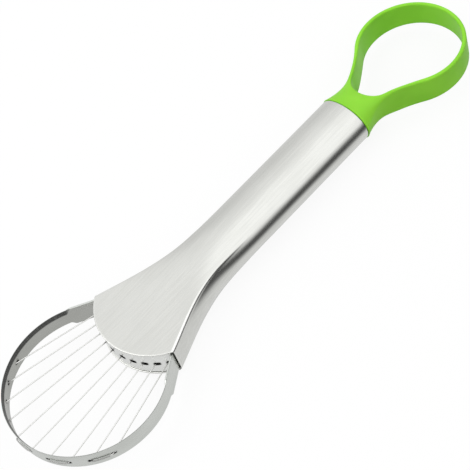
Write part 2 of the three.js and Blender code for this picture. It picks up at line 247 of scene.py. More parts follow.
brushed = {
    "pale": (0.74, 0.745, 0.715, 1.0),
    "dull": (0.69, 0.695, 0.665, 1.0),
    "paintedHighlight": (0.96, 0.96, 0.94, 1.0),  # painted highlight: paler steel along the folds and edges
    "roughness": 0.24,
    "lines": (70.0, 5200.0, 5200.0),  # per metre: fine brushed lines along X
    "streaks": (60.0, 1100.0, 1100.0),
    "clouds": (55.0, 70.0, 70.0),
    "dullShares": (0.55, 0.45),  # of the streaks and of the clouds
    "dullRange": (0.35, 0.65),
    "roughLines": 0.03,
    "roughDull": 0.03,
    "reliefShares": (0.7, 0.3),  # of the lines and of the streaks
    "lineDepth": 1.2e-6,
}


def brushedSteel():
    material, spot = newFinish("brushed_handle_steel")
    lines = speckle(spot, brushed["lines"], 3.0)
    streaks = speckle(spot, brushed["streaks"], 2.0, 7.3)
    clouds = speckle(spot, brushed["clouds"], 3.0, 2.1)
    # where the folds and the front edge carry a painted highlight
    paintedHighlight = spot.node("ShaderNodeAttribute", {"attribute_name": "edgeHighlight"}, out="Fac")
    byStreaks, byClouds = brushed["dullShares"]
    dull = stepped(byStreaks * streaks + byClouds * clouds, *brushed["dullRange"])
    rough = brushed["roughness"] + brushed["roughLines"] * (lines - 0.5) + brushed["roughDull"] * dull
    deepLines, deepStreaks = brushed["reliefShares"]
    closeFinish(spot, {
        "Base Color": mixed(mixed(brushed["pale"], brushed["dull"], dull), brushed["paintedHighlight"], paintedHighlight),
        "Metallic": 1.0,
        "Roughness": rough,
        "Normal": bumped(deepLines * lines + deepStreaks * streaks, brushed["lineDepth"]),
    })
    return material


rolled = {
    "bandPale": (0.7, 0.72, 0.69, 1.0),
    "bandDull": (0.63, 0.65, 0.62, 1.0),
    "anchorPale": (0.86, 0.87, 0.85, 1.0),
    "anchorDull": (0.8, 0.81, 0.79, 1.0),
    "inside": (0.43, 0.435, 0.41, 1.0),  # painted shade: the inner face, darker
    # painted dark reflection: the ground bevel near black, a little paler where its real grinding
    # scratches run
    "groundPaintedDark": (0.13, 0.132, 0.127, 1.0),
    "groundPaintedPale": (0.2, 0.203, 0.195, 1.0),
    "holeShadeBlack": (0.03, 0.03, 0.028, 1.0),  # painted shade: the walls of the punched holes and slots
    "roughness": 0.24,
    "lines": (60.0, 4200.0, 4200.0),  # per metre: along the strip and across it
    "grinding": (5200.0, 120.0, 120.0),  # short scratches across the ground edge
    "clouds": (80.0, 160.0, 160.0),
    "dullShares": (0.5, 0.5),  # of the lines and of the clouds
    "dullRange": (0.35, 0.65),
    "innerShadeShares": (0.8, 0.3),  # everywhere, and more by the clouds
    "scratchRange": (0.45, 0.75),
    "roughLines": 0.1,
    "roughClouds": 0.08,
    "roughGround": 0.1,
    "lineDepth": 4e-6,
}


def rolledSteel(name, pale, dull):
    material, spot = newFinish(name, "stripPlace")
    ground = spot.node("ShaderNodeAttribute", {"attribute_name": "groundEdge"}, out="Fac")
    inside = spot.node("ShaderNodeAttribute", {"attribute_name": "innerFaceShade"}, out="Fac")
    holeShade = spot.node("ShaderNodeAttribute", {"attribute_name": "paintedHoleShade"}, out="Fac")
    lines = speckle(spot, rolled["lines"], 3.0)
    scratches = speckle(spot, rolled["grinding"], 3.0, 4.4)
    clouds = speckle(spot, rolled["clouds"], 3.0, 1.7)
    byLines, byClouds = rolled["dullShares"]
    plain = mixed(pale, dull, stepped(byLines * lines + byClouds * clouds, *rolled["dullRange"]))
    least, more = rolled["innerShadeShares"]
    # painted shade darkens the inner face
    face = mixed(plain, rolled["inside"], inside * (least + more * clouds))
    worked = stepped(scratches, *rolled["scratchRange"])
    # the ground bevel's painted dark reflection, with its real scratches
    edge = mixed(rolled["groundPaintedDark"], rolled["groundPaintedPale"], worked)
    rough = rolled["roughness"] + rolled["roughLines"] * (lines - 0.5)
    rough = rough + rolled["roughClouds"] * clouds + rolled["roughGround"] * ground
    height = lines * (1 - ground) + scratches * ground
    closeFinish(spot, {
        # painted shade blackens the walls of the holes and slots and, in part, their rims
        "Base Color": mixed(mixed(face, edge, ground), rolled["holeShadeBlack"], holeShade),
        "Metallic": 1.0,
        "Roughness": rough,
        "Normal": bumped(height, rolled["lineDepth"]),
    })
    return material


drawn = {
    "pale": (0.88, 0.88, 0.86, 1.0),
    "dull": (0.8, 0.8, 0.78, 1.0),
    "shadeBlack": (0.03, 0.03, 0.028, 1.0),  # painted shade: the sleeves and the wire ends in the slots and the throat, painted black
    "sheen": (0.06, 0.06, 0.057, 1.0),
    "roughness": 0.2,
    "lines": (40.0, 9000.0, 9000.0),
    "pits": (1500.0, 1500.0, 1500.0),
    "roughLines": 0.1,
    "roughPits": 0.2,
    "lineDepth": 2e-6,
}


def drawnSteel():
    material, spot = newFinish("drawn_wire_steel", "stripPlace")
    lines = speckle(spot, drawn["lines"], 2.0)
    bright = spot.node("ShaderNodeAttribute", {"attribute_name": "unshadedWire"}, out="Fac")
    closeFinish(spot, {
        # the wire's own colour, painted black as shade towards its ends and darker on the stitch
        "Base Color": mixed(drawn["shadeBlack"], mixed(drawn["pale"], drawn["dull"], lines), bright),
        "Metallic": 1.0,
        "Roughness": drawn["roughness"] + drawn["roughLines"] * lines,
        "Normal": bumped(lines, drawn["lineDepth"]),
    })
    return material


def crimpedSteel():
    material, spot = newFinish("crimped_sleeve_steel")
    pits = speckle(spot, drawn["pits"], 2.0)
    closeFinish(spot, {
        # painted shade: the sleeves near black, speckled by pits
        "Base Color": mixed(drawn["shadeBlack"], drawn["sheen"], pits),
        "Metallic": 1.0,
        "Roughness": drawn["roughness"] + drawn["roughPits"] * pits,
        "Normal": bumped(pits, drawn["lineDepth"]),
    })
    return material


lime = {
    "bright": (0.275, 0.68, 0.042, 1.0),
    "deep": (0.24, 0.625, 0.034, 1.0),
    "roughness": 0.45,
    "specular": 0.18,
    "clouds": (60.0, 60.0, 60.0),
    "grain": (4200.0, 4200.0, 4200.0),  # per metre: the mould's fine spark texture
    "grainDepth": 3e-6,
    "deepRange": (0.35, 0.65),
    "roughGrain": 0.08,
    "roughClouds": 0.06,
    "glowShare": 0.2,  # light that passes into the plastic
    "glowReach": (0.3, 1.0, 0.15),
    "glowScale": 0.0015,
}


def limePlastic():
    material, spot = newFinish("lime_moulded_plastic")
    clouds = speckle(spot, lime["clouds"], 2.0)
    grain = speckle(spot, lime["grain"], 2.0, 5.9)
    rough = lime["roughness"] + lime["roughGrain"] * (grain - 0.5) + lime["roughClouds"] * (clouds - 0.5)
    closeFinish(spot, {
        "Base Color": mixed(lime["bright"], lime["deep"], stepped(clouds, *lime["deepRange"])),
        "Roughness": rough,
        "Specular IOR Level": lime["specular"],
        "Subsurface Weight": lime["glowShare"],
        "Subsurface Radius": lime["glowReach"],
        "Subsurface Scale": lime["glowScale"],
        "Normal": bumped(grain, lime["grainDepth"]),
    })
    return material


handleFinish = brushedSteel()
bandFinish = rolledSteel("rolled_band_steel", rolled["bandPale"], rolled["bandDull"])
anchorFinish = rolledSteel("rolled_anchor_steel", rolled["anchorPale"], rolled["anchorDull"])
wireFinish = drawnSteel()
sleeveFinish = crimpedSteel()
limeFinish = limePlastic()
print("finishes are mixed")


# Plan lines and grids

def between(a, b, t):
    return a + (b - a) * t


def ease(t):  # from 0 to 1 with level ends
    t = np.clip(t, 0.0, 1.0)
    return t * t * (3 - 2 * t)


def quadratic(a, b, c, steps):  # a curve from a to c that leaves and arrives towards b
    t = np.linspace(0, 1, steps)[:, None]
    return (1 - t) ** 2 * np.array(a) + 2 * t * (1 - t) * np.array(b) + t**2 * np.array(c)


def roundAbout(centreX, radius, start, end, steps):  # an arc in plan about a point on the X axis
    turn = np.linspace(start, end, steps)
    return np.stack([centreX + radius * np.cos(turn), radius * np.sin(turn)], 1)


def runAlong(points):  # the distance along a plan line at each of its points
    return np.concatenate([[0.0], np.cumsum(np.hypot(*np.diff(points, axis=0).T))])


def respaced(points, count):  # the same plan line with evenly spaced points
    run = runAlong(points)
    at = np.linspace(0, run[-1], count)
    return np.stack([np.interp(at, run, points[:, 0]), np.interp(at, run, points[:, 1])], 1)


def gridCells(number, closeRows=True, closeCols=True):
    # Each cell of a grid of point numbers as its four corners, wrapped round where it closes
    right = np.roll(number, -1, 1)
    below = np.roll(number, -1, 0)
    cells = np.stack([number, right, np.roll(below, -1, 1), below], -1)
    cells = cells if closeRows else cells[:-1]
    return cells if closeCols else cells[:, :-1]


def makePiece(name, points, faces, node, finish, crease, notes=None):
    mesh = bpy.data.meshes.new(name)
    mesh.from_pydata((points * 0.001 + frameShift).tolist(), [], faces)
    for key, values in (notes or {}).items():
        kind, field = ("FLOAT_VECTOR", "vector") if values.ndim == 2 else ("FLOAT", "value")
        layer = mesh.attributes.new(key, kind, "POINT")
        layer.data.foreach_set(field, values.astype(np.float32).ravel())
    mesh.shade_smooth()
    mesh.set_sharp_from_angle(angle=np.radians(crease))
    mesh.materials.append(finish)
    piece = bpy.data.objects.new(name, mesh)
    bpy.context.collection.objects.link(piece)
    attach(piece, "root")
    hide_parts(node)
    print(name, len(points), "points")
    return piece


# Handle shell

handle = {
    "tubeWidth": 24.2, "tubeHeight": 18.5, "wall": 0.7, "length": 123.6,
    "throatWidth": 44.5, "throatHeight": 13.2, "flareLength": 40.0, "flattenLength": 59.0,
    "creaseRadius": 1.4, "ovalFlat": 0.2, "frontBulge": 12.2,
    "foldTurns": (34.0, 38.0),  # degrees round the oval where the folds begin to show
    # this line also gives the front edge's share of the painted highlight
    "edgeRound": 0.2, "rimHighlight": 0.3, "cornerSteps": 12, "plateSteps": 48, "sideSteps": 26,
    "foldLaw": 1.5,  # the plates flatten before the sides do
    "outerRows": (50, 80), "denseFrom": 0.62,  # rows over the straight tube and over the throat
    "innerRows": 60, "rimSteps": 5, "settleRounds": 60, "crease": 35,
}
mouthX = -handle["length"]
mouthHalf = handle["throatWidth"] / 2
frontRadius = (mouthHalf**2 + handle["frontBulge"] ** 2) / (2 * handle["frontBulge"])
frontCentreX = mouthX - handle["frontBulge"] + frontRadius


def ovalAround(corner, plate, side):
    # Once round an oval with flats from the middle of its underside: the turn on its quarter ellipses
    # and the share, from -1 to 1, of the flats across and up
    quarter = np.linspace(0, np.pi / 2, corner, endpoint=False)
    still = np.zeros
    turn = np.concatenate([
        still(plate // 2) - np.pi / 2, quarter - np.pi / 2, still(side), quarter,
        still(plate) + np.pi / 2, quarter + np.pi / 2, still(side) + np.pi, quarter + np.pi,
        still(plate // 2) + 1.5 * np.pi,
    ])
    ones = np.ones
    up = np.linspace(-1, 1, side, endpoint=False)
    over = np.linspace(1, -1, plate, endpoint=False)
    half = np.linspace(0, 1, plate // 2, endpoint=False)
    across = np.concatenate([
        half, ones(corner), ones(side), ones(corner), over,
        -ones(corner), -ones(side), -ones(corner), half - 1,
    ])
    height = np.concatenate([
        -ones(plate // 2), -ones(corner), up, ones(corner), ones(plate),
        ones(corner), -up, -ones(corner), -ones(plate // 2),
    ])
    return turn, across, height


def ovalAt(around, halfWidth, halfHeight, cornerY, cornerZ):
    turn, across, height = around
    y = across * (halfWidth - cornerY) + cornerY * np.cos(turn)
    z = height * (halfHeight - cornerZ) + cornerZ * np.sin(turn)
    return -y, z


def handleSkin(x, inset, around):
    # A straight oval tube whose half-width grows as the curve of a strip bent at its end, while its
    # height falls and its section turns from an oval into two plates and two sides, with folds between
    h = handle
    s = np.maximum(0, (h["flareLength"] + mouthX - x) / h["flareLength"])
    bend = np.where(s < 1, s * s * (3 - s) / 2, 1 + 1.5 * (s - 1))
    halfWidth = between(h["tubeWidth"] / 2, mouthHalf, bend) - inset
    flat = ease((h["flattenLength"] + mouthX - x) / h["flattenLength"])
    halfHeight = between(h["tubeHeight"] / 2, h["throatHeight"] / 2, flat) - inset
    turn, across, height = around
    corner = np.arctan2(np.abs(np.sin(turn)), np.abs(np.cos(turn))) / (np.pi / 2)
    fold = np.radians(between(*h["foldTurns"], corner))
    onPlate = np.abs(across) < 1
    over, up = across * np.cos(fold), height * np.sin(fold)
    ovalY = np.where(onPlate, over, np.sign(across) * np.sqrt(1 - up**2))
    ovalZ = np.where(onPlate, np.sign(height) * np.sqrt(1 - over**2), up)
    radius = h["creaseRadius"] - inset
    plateY, plateZ = ovalAt(around, halfWidth, halfHeight, radius, radius)
    sides, plates = flat ** h["foldLaw"], 1 - (1 - flat) ** h["foldLaw"]
    return between(-ovalY * halfWidth, plateY, sides), between(ovalZ * halfHeight, plateZ, plates)


def handleShell():
    # Rows run from the rear along the outside, round the front edge, back along the inside and round
    # the rear edge. Each column ends where the front arc cuts it.
    h = handle
    around = ovalAround(h["cornerSteps"], h["plateSteps"], h["sideSteps"])
    front = np.full(around[0].shape, mouthX)
    for _ in range(h["settleRounds"]):
        y = np.minimum(np.abs(handleSkin(front, 0.0, around)[0]), mouthHalf)
        front = frontCentreX - np.sqrt(frontRadius**2 - y**2)
    edge = h["edgeRound"]
    quarter = np.linspace(0, np.pi / 2, h["rimSteps"])
    turnedIn = edge * (1 - np.cos(quarter))
    rimIn = np.concatenate([turnedIn, h["wall"] - turnedIn[::-1]])
    rimBack = np.concatenate([edge * (1 - np.sin(quarter)), edge * (1 - np.sin(quarter[::-1]))])
    coarse, fine = h["outerRows"]
    tubeRows, throatRows = np.linspace(0, h["denseFrom"], coarse), np.linspace(h["denseFrom"], 1, fine)
    along = np.concatenate([tubeRows, throatRows[1:]])[1:-1, None]
    inAlong = np.linspace(1, 0, h["innerRows"])[1:-1, None]
    outer = between(-edge, front + edge, along)
    frontRim = front + rimBack[:, None]
    inner = between(-edge, front + edge, inAlong)
    rearRim = -rimBack[::-1, None] + 0 * front
    x = np.concatenate([outer, frontRim, inner, rearRim])
    inset = np.concatenate([0 * along[:, 0], rimIn, h["wall"] + 0 * inAlong[:, 0], rimIn[::-1]])[:, None]
    y, z = handleSkin(x, inset, around)
    points = np.stack([x, y, z], -1)
    cells = gridCells(np.arange(x.size).reshape(x.shape))
    corner = np.arctan2(np.abs(np.sin(around[0])), np.abs(np.cos(around[0])))
    # painted highlight: paler steel along the folds where the throat flattens, and on the front edge
    paintedHighlight = np.sin(2 * corner) * ease((h["flattenLength"] + mouthX - x) / h["flattenLength"])
    paintedHighlight[len(outer):len(outer) + len(frontRim)] = h["rimHighlight"]
    makePiece("brushed_handle", points.reshape(-1, 3), cells.reshape(-1, 4).tolist(),
              "handle_shell", handleFinish, h["crease"], {"edgeHighlight": paintedHighlight.ravel()})


handleShell()


# Strips with a row of holes

def stripLine(points):
    # A plan line as its run, its points and its unit normals to the left of the way ahead
    run = runAlong(points)
    way = np.gradient(points, run, axis=0)
    way /= np.hypot(way[:, 0], way[:, 1])[:, None]
    return {"run": run, "x": points[:, 0], "y": points[:, 1], "nx": -way[:, 1], "ny": way[:, 0]}


def onStrip(line, run, depth, height):
    x, y, nx, ny = (np.interp(run, line["run"], line[key]) for key in ("x", "y", "nx", "ny"))
    return np.stack([x + nx * depth, y + ny * depth, height], -1)


def stripStations(start, end, marks, block, step):
    # Stations along a strip: the block's own columns at each mark and even steps between the blocks
    ends = np.concatenate([[start], np.ravel([(m + block[0], m + block[-1]) for m in marks]), [end]])
    fills = [np.linspace(a, b, max(2, int(np.ceil((b - a) / step)) + 1))
             for a, b in zip(ends[::2], ends[1::2])]
    blocks = [m + np.array(block) for m in marks]
    return np.unique(np.round(np.concatenate(fills + blocks), 6))


rimShares = np.array([-1, -0.5, 0, 0.5, 1])  # the lines of a hole's block, from rim to rim


def punchedStrip(line, stations, depth, height, middles, marks, hole, ground, inside):
    # A section carried along a plan line, with holes through both faces. At each mark a block of cells
    # is left out on either face, its rim is drawn onto the hole's outline and a wall joins the rims.
    # ground and inside tell which points of the section lie on a ground edge and on the inner face.
    rows, cols = depth.shape
    run = np.tile(stations, (rows, 1))
    rise = height.copy()
    # painted shade: a share on each hole's rim, full on its wall
    rimShade = np.zeros((rows, cols))
    number = np.arange(rows * cols).reshape(rows, cols)
    whole = np.ones((rows, cols - 1), bool)
    nb, br = len(hole["blockU"]) // 2, len(hole["blockV"]) // 2
    ahead, up = np.arange(-nb, nb), np.arange(-br, br)
    du = np.concatenate([ahead, np.full(2 * br, nb), -ahead, np.full(2 * br, -nb)])
    dv = np.concatenate([np.full(2 * nb, -br), up, np.full(2 * nb, br), -up])
    u, v = np.array(hole["blockU"])[du + nb], np.array(hole["blockV"])[dv + br]
    straight, radius = (hole["length"] - hole["width"]) / 2, hole["width"] / 2
    middleU = np.clip(u, -straight, straight)
    reach = np.hypot(u - middleU, v)

    def outline(size):
        return middleU + (u - middleU) * size / reach, v * size / reach

    def slid(at, deep):  # moved and stretched along the strip near each hole that runs through at a slant
        moved = at.copy()
        for mark, slide, slant, stretch in zip(marks, hole["slide"], hole["slant"], hole["stretch"]):
            off = at - mark
            near = ease(1 - (np.abs(off) - hole["blockU"][-1] - hole["lip"]) / hole["fade"])
            moved = moved + near * (slide + slant * deep + (stretch - 1) * off)
        return moved

    mouthU, mouthV = outline(radius + hole["lip"])
    boreU, boreV = outline(radius)
    walls, extra = [], []
    for mark in marks:
        middle = int(np.argmin(np.abs(stations - mark)))
        outerRim = number[middles[0] + dv, middle + du]
        innerRim = number[middles[1] - dv, middle + du]
        for rim in (outerRim, innerRim):
            run.flat[rim] = mark + mouthU
            rise.flat[rim] = mouthV
            rimShade.flat[rim] = hole["rimShade"]
        for row in middles:
            whole[row - br:row + br, middle - nb:middle + nb] = False
        first = rows * cols + sum(len(e) for e in extra)
        deeps = np.repeat([hole["lip"], hole["thick"] - hole["lip"]], len(u))
        at = np.tile(mark + boreU, 2)
        extra.append(np.stack([at, deeps, np.tile(boreV, 2)], 1))
        bores = first + np.arange(2 * len(u)).reshape(2, -1)
        rings = np.stack([outerRim, bores[0], bores[1], innerRim])
        walls.append(gridCells(rings, closeRows=False).reshape(-1, 4))
    extra = np.concatenate(extra)
    allRun = np.concatenate([run.ravel(), extra[:, 0]])
    allDeep = np.concatenate([depth.ravel(), extra[:, 1]])
    allRise = np.concatenate([rise.ravel(), extra[:, 2]])
    allRun = slid(allRun, allDeep)
    points = onStrip(line, allRun, allDeep, allRise)
    quads = np.concatenate([gridCells(number, closeCols=False)[whole]] + walls)
    used = np.unique(quads)
    renumber = np.zeros(len(points), int)
    renumber[used] = np.arange(len(used))
    ends = [renumber[number[:, 0]].tolist(), renumber[number[::-1, -1]].tolist()]
    faces = renumber[quads].tolist() + ends
    notes = {
        "stripPlace": np.stack([allRun, allRise, 0.2 * allDeep], 1)[used] * 0.001,
        "groundEdge": np.concatenate([ground.ravel(), np.zeros(len(extra))])[used],
        "innerFaceShade": np.concatenate([inside.ravel(), np.zeros(len(extra))])[used],
        "paintedHoleShade": np.concatenate([rimShade.ravel(), np.ones(len(extra))])[used],
    }
    return points[used], faces, notes


hoop = {
    "radius": 32.99, "thick": 0.7, "tabHeight": 10.3, "tabLength": 10.0, "legLength": 11.8,
    "upperStep": 0.75, "lowerStep": 1.75, "shoulder": 2.3, "bevelHeight": 1.8, "edgeThick": 0.2,
    "chamfer": 0.08, "holePitch": 14.6, "holeTurn": 2.5, "holeWidth": 1.4, "holeOffset": 0.2,
    "strands": 10, "fitGap": 0.3, "tabBevel": 0.1, "topChamfer": 0.048,
    # this line also gives the share of painted shade on each hole's rim
    "holeFade": 2.4, "holeRimShade": 0.3,
    "ringSteps": 1200, "legSteps": 60, "step": 0.45, "faceRows": 7, "edgeRows": 5, "crease": 10,
}
anchor = {
    "recess": 0.4, "thick": 0.7, "slotLength": 2.6, "slotHeight": 1.7, "slotShift": 0.5, "slotLand": 0.2,
    # this line gives the painted shade on each slot's rim and how far below the slot it fades
    "chamfer": 0.08, "slotShadeReach": 0.3, "slotFade": 0.5, "slotRimShade": 0.8,
    "arcSteps": 600, "step": 0.5, "faceRows": 7, "crease": 10,
}
wire = {
    "diameter": 0.5, "stitchGap": 0.2, "bendReach": 1.2, "sleeveWidth": 1.7, "sleeveLength": 2.0,
    "tail": 0.5, "endRound": 0.12,
    # the wire ends' painted black shade and its fade, then the stitch's painted shade
    "shadedEnd": 3.4, "shadedEndFade": 2.2, "stitchShade": 0.55,
    "sides": 14, "strandSteps": 40, "bendSteps": 14, "stitchSteps": 24, "tipSteps": 5, "crease": 40,
}

# The hoop's legs start inside the throat's corners and touch the round part
wallSlope = np.arctan(1.5 * (handle["throatWidth"] - handle["tubeWidth"]) / (2 * handle["flareLength"]))
legStart = np.array([mouthX, mouthHalf - (handle["wall"] + hoop["fitGap"]) / np.cos(wallSlope)])
hoopDistance = np.hypot(hoop["radius"], hoop["legLength"])
hoopCentreX = mouthX - np.sqrt(hoopDistance**2 - legStart[1] ** 2)
touchAngle = np.arcsin(legStart[1] / hoopDistance) + np.arccos(hoop["radius"] / hoopDistance)

# The wires are spread evenly over the anchor between the hoop's tabs
anchorRadius = frontRadius - anchor["recess"]
slotRadius = anchorRadius - anchor["thick"] / 2
mouthAngle = np.arctan2(legStart[1], frontCentreX - mouthX)
anchorEnd = mouthAngle - (hoop["thick"] + hoop["fitGap"]) / frontRadius
lastWire = anchorEnd - (anchor["slotLength"] / 2 + anchor["slotLand"] + anchor["slotShift"]) / slotRadius

# Strands from the +Y side: the slot, the corner outside the hoop and the way between them
strand = np.arange(hoop["strands"])
wireAngle = between(lastWire, -lastWire, strand / (hoop["strands"] - 1))
slotAngle = wireAngle + np.sign(wireAngle) * anchor["slotShift"] / slotRadius  # reaching outwards
holeAngle = np.radians(hoop["holeTurn"] + hoop["holePitch"] * ((hoop["strands"] - 1) / 2 - strand))
stitchRadius = hoop["radius"] + wire["stitchGap"] + wire["diameter"] / 2
slotNormal = np.stack([np.cos(wireAngle), -np.sin(wireAngle)], 1)
slotPoint = np.array([frontCentreX, 0.0]) - slotRadius * slotNormal
cornerOut = np.stack([-np.cos(holeAngle), np.sin(holeAngle)], 1)
cornerPoint = np.array([hoopCentreX, 0.0]) + stitchRadius * cornerOut
strandWay = slotPoint - cornerPoint
strandWay /= np.hypot(strandWay[:, 0], strandWay[:, 1])[:, None]
aside = np.stack([-strandWay[:, 1], strandWay[:, 0]], 1) * np.where(strand % 2 == 0, 1, -1)[:, None]


def holeCrossing(radius):  # the angle at which each hole's axis crosses a circle about the hoop's centre
    start = cornerPoint + aside * hoop["holeOffset"] - np.array([hoopCentreX, 0.0])
    half = np.sum(start * strandWay, 1)
    step = -half - np.sqrt(half**2 - np.sum(start**2, 1) + radius**2)
    at = start + strandWay * step[:, None]
    return np.arctan2(at[:, 1], at[:, 0]) % (2 * np.pi)


def hoopBlade():
    h = hoop
    farAngle = 2 * np.pi - touchAngle
    tabEnd = legStart + h["tabLength"] * np.array([np.cos(wallSlope), -np.sin(wallSlope)])
    flip = np.array([1, -1])
    ring = roundAbout(hoopCentreX, h["radius"], touchAngle, farAngle, h["ringSteps"])
    ways = [(tabEnd, legStart), (legStart, ring[0])]
    side = np.concatenate([np.linspace(a, b, h["legSteps"])[:-1] for a, b in ways])
    line = stripLine(np.concatenate([side, ring, (side * flip)[::-1]]))
    ringStart = h["tabLength"] + h["legLength"]
    ringEnd = ringStart + h["radius"] * (farAngle - touchAngle)
    outer, inner = holeCrossing(h["radius"]), holeCrossing(h["radius"] - h["thick"])
    marks = ringStart + h["radius"] * (outer - touchAngle)
    square = -np.sum(strandWay * cornerOut, 1)
    half = h["holeWidth"] / 2
    hole = {
        "blockU": half * rimShares, "blockV": half * rimShares,
        "length": h["holeWidth"], "width": h["holeWidth"], "lip": h["chamfer"], "thick": h["thick"],
        "slide": 0 * marks, "slant": h["radius"] * (inner - outer) / h["thick"], "stretch": 1 / square,
        "fade": h["holeFade"], "rimShade": h["holeRimShade"],
    }
    stations = stripStations(0.0, line["run"][-1], marks, hole["blockU"], h["step"])
    narrow = ease(np.minimum(stations - ringStart, ringEnd - stations) / h["shoulder"])
    top = h["tabHeight"] / 2 - h["upperStep"] * narrow
    bottom = -h["tabHeight"] / 2 + h["lowerStep"] * narrow
    bevel = between(h["tabBevel"], h["bevelHeight"], narrow)
    thin = between(h["thick"] - h["tabBevel"], h["edgeThick"], narrow)
    zero, thick, c = 0 * stations, h["thick"] + 0 * stations, h["chamfer"]
    share = np.linspace(0, 1, h["faceRows"])
    low = [between(bottom + c, -half, f) for f in share[:-1]]
    block = [zero + v for v in hole["blockV"]]
    high = [between(half, top - c, f) for f in share[1:]]
    shelf = [between(half, top - bevel, f) for f in np.linspace(0, 1, h["edgeRows"])[1:]]
    slope = np.linspace(1, 0, h["edgeRows"])[1:-1]
    face = low + block + high
    back = low + block + shelf
    edgeHeights = [top, top] + [between(top - bevel, top, f) for f in slope]
    edgeDepths = [zero + h["topChamfer"], thin] + [between(thick, thin, f) for f in slope]
    height = np.array(face + edgeHeights + back[::-1] + [bottom, bottom])
    depth = np.array([zero] * len(face) + edgeDepths + [thick] * len(back) + [thick - c, zero + c])
    middles = (len(low) + 2, len(face) + 2 + len(slope) + len(shelf) + 2)
    ground, inside = np.zeros(depth.shape), np.zeros(depth.shape)
    ground[len(face) + 1:len(face) + 3 + len(slope)] = narrow
    # the inner face's rows take the painted shade
    inside[len(face) + 2 + len(slope):-2] = 1.0
    points, faces, notes = punchedStrip(
        line, stations, depth, height, middles, marks, hole, ground, inside)
    makePiece("strung_hoop", points, faces,
              "hoop_blade", bandFinish, h["crease"], notes)


def wireAnchor():
    a = anchor
    arc = roundAbout(frontCentreX, anchorRadius, np.pi - anchorEnd, np.pi + anchorEnd, a["arcSteps"])
    line = stripLine(arc)
    marks = anchorRadius * (anchorEnd - slotAngle)
    half, straight = a["slotHeight"] / 2, (a["slotLength"] - a["slotHeight"]) / 2
    across = np.array([straight, straight + half / 2, straight + half])
    even = np.zeros(len(marks))
    hole = {
        "blockU": np.concatenate([-across[::-1], [0], across]), "blockV": half * rimShares,
        "length": a["slotLength"], "width": a["slotHeight"], "lip": a["chamfer"], "thick": a["thick"],
        "slide": even, "slant": even, "stretch": even + 1, "fade": a["slotFade"],
        "rimShade": a["slotRimShade"],
    }
    stations = stripStations(0.0, line["run"][-1], marks, hole["blockU"], a["step"])
    tall = handle["throatHeight"] / 2 - handle["wall"] - hoop["fitGap"]
    c = a["chamfer"]
    zero = 0 * stations
    low = [between(c - tall, -half, f) for f in np.linspace(0, 1, a["faceRows"])[:-1]]
    # a row just below the slots, over which their painted shade fades
    low = low + [-half - a["slotShadeReach"]]
    face = np.array(low + list(hole["blockV"]) + [-z for z in low[::-1]])
    levels = np.concatenate([face, [tall, tall], face[::-1], [-tall, -tall]])
    deeps = np.concatenate([0 * face, [c, a["thick"] - c], a["thick"] + 0 * face, [a["thick"] - c, c]])
    height, depth = levels[:, None] + zero, deeps[:, None] + zero
    middles = (len(low) + 2, len(face) + 2 + len(low) + 2)
    plain = np.zeros(depth.shape)
    points, faces, notes = punchedStrip(line, stations, depth, height, middles, marks, hole, plain, plain)
    makePiece("slotted_anchor", points, faces,
              "wire_anchor", anchorFinish, a["crease"], notes)


hoopBlade()
wireAnchor()


# Cutting wires

def hairpin(first, second):
    # Out along one strand, a stitch round the outside of the hoop, and back along the next
    w = wire
    square = np.sum(strandWay * slotNormal, 1)
    slant = np.sqrt(1 - square**2)
    behind = (anchor["thick"] / 2 + hoop["fitGap"] + w["sleeveWidth"] / 2 * slant) / square
    end = slotPoint + strandWay * (behind + w["sleeveLength"] + w["tail"])[:, None]
    reach = w["bendReach"] / stitchRadius
    stitch = roundAbout(hoopCentreX, stitchRadius, np.pi - holeAngle[first] + reach,
                        np.pi - holeAngle[second] - reach, w["stitchSteps"])
    bendIn = cornerPoint[first] + strandWay[first] * w["bendReach"]
    bendOut = cornerPoint[second] + strandWay[second] * w["bendReach"]
    return np.concatenate([
        np.linspace(end[first], bendIn, w["strandSteps"])[:-1],
        quadratic(bendIn, cornerPoint[first], stitch[0], w["bendSteps"])[:-1],
        stitch[:-1],
        quadratic(stitch[-1], cornerPoint[second], bendOut, w["bendSteps"])[:-1],
        np.linspace(bendOut, end[second], w["strandSteps"]),
    ])


